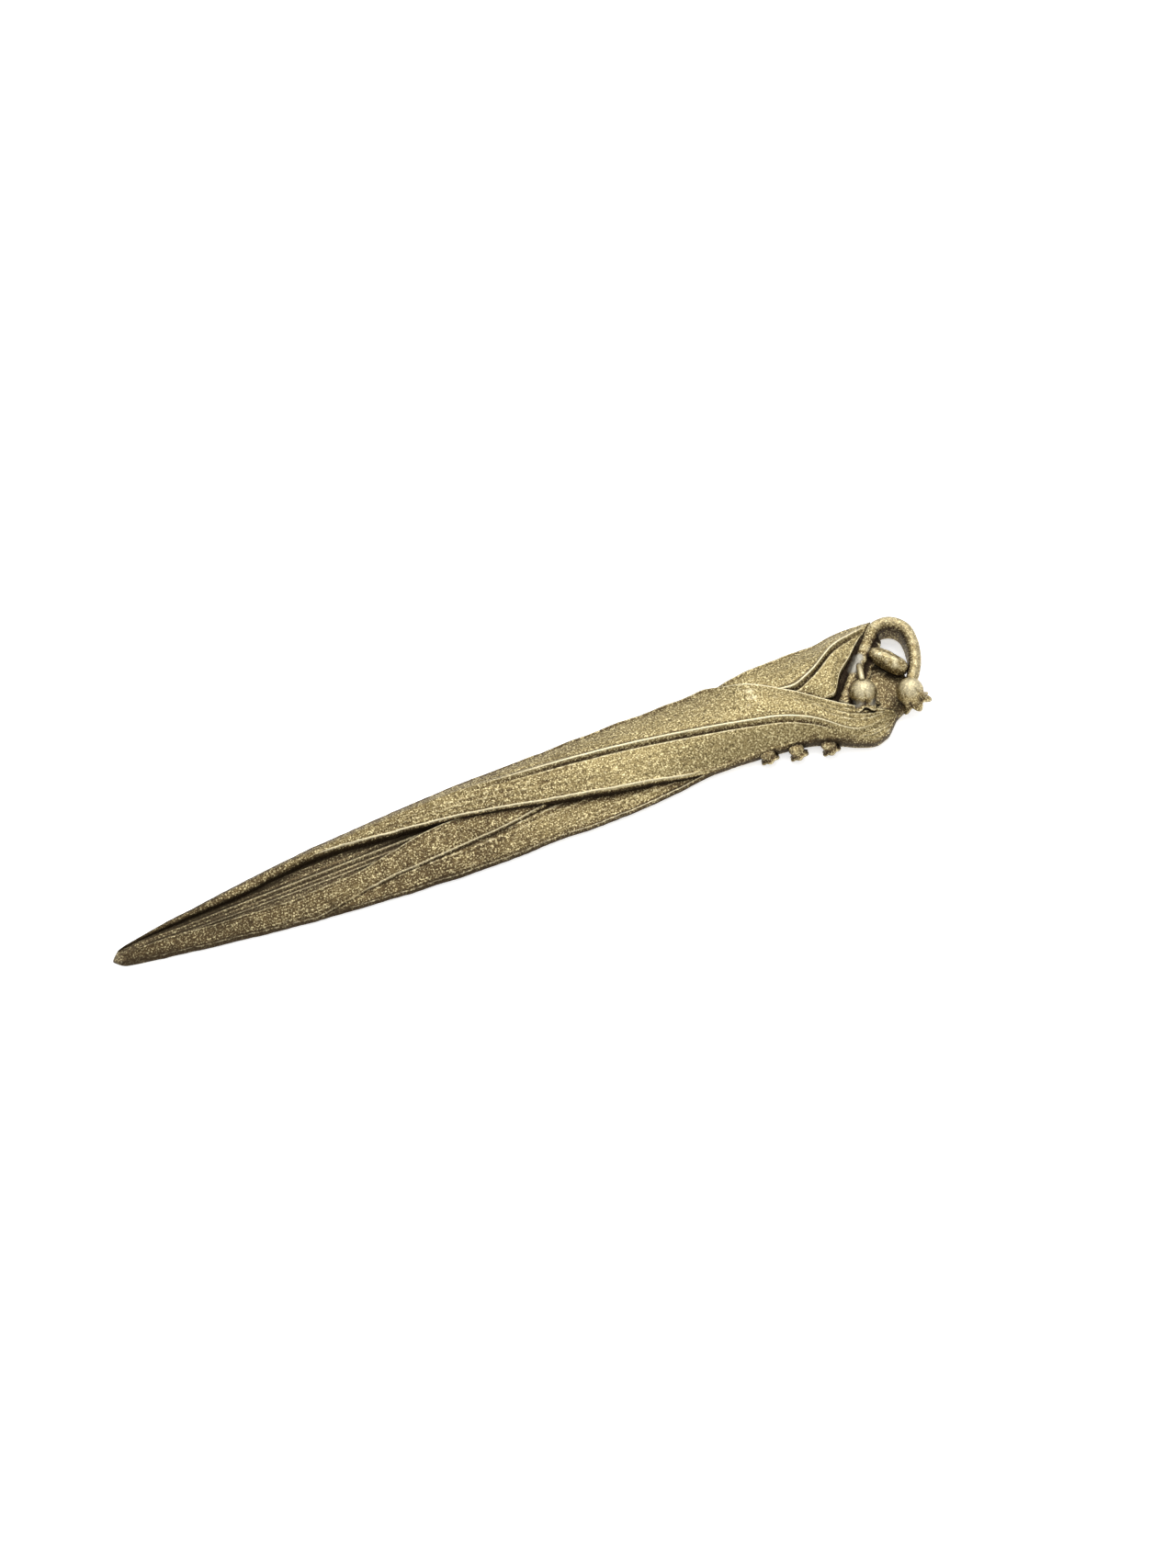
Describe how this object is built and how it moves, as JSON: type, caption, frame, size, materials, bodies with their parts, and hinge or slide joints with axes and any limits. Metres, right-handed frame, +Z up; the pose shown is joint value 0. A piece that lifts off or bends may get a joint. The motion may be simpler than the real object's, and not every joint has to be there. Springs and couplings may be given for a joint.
{
  "type": "letter opener",
  "caption": "Cast bronze letter opener: a slender blade of overlapping lily-of-the-valley leaves that broadens into a leafy handle, with bell flowers and a stem bent into a hanging loop.",
  "frame": {"origin": "middle of the bounding box, on the flat back", "axes": "+X from the tip to the loop, +Y to the far edge of the blade, +Z up from the flat back"},
  "size_m": [0.24, 0.037, 0.0112],
  "materials": {
    "gilt_leaf": "sand-cast bronze with worn gilding",
    "patinated_ground": "sand-cast bronze with dark brown patina",
    "bronze_flower": "chased bronze, rubbed bright on the high places"
  },
  "bodies": {
    "root": {"blade": "patinated_ground", "wrap_leaf": "gilt_leaf", "upper_leaf": "gilt_leaf", "inner_leaf": "gilt_leaf", "under_leaf": "gilt_leaf", "flower_stem": "bronze_flower", "right_bell": "bronze_flower", "left_bell": "bronze_flower", "left_bell_stalk": "bronze_flower", "bud": "bronze_flower", "side_bell_1": "bronze_flower", "side_bell_2": "bronze_flower", "side_bell_3": "bronze_flower"}
  },
  "joints": []
}
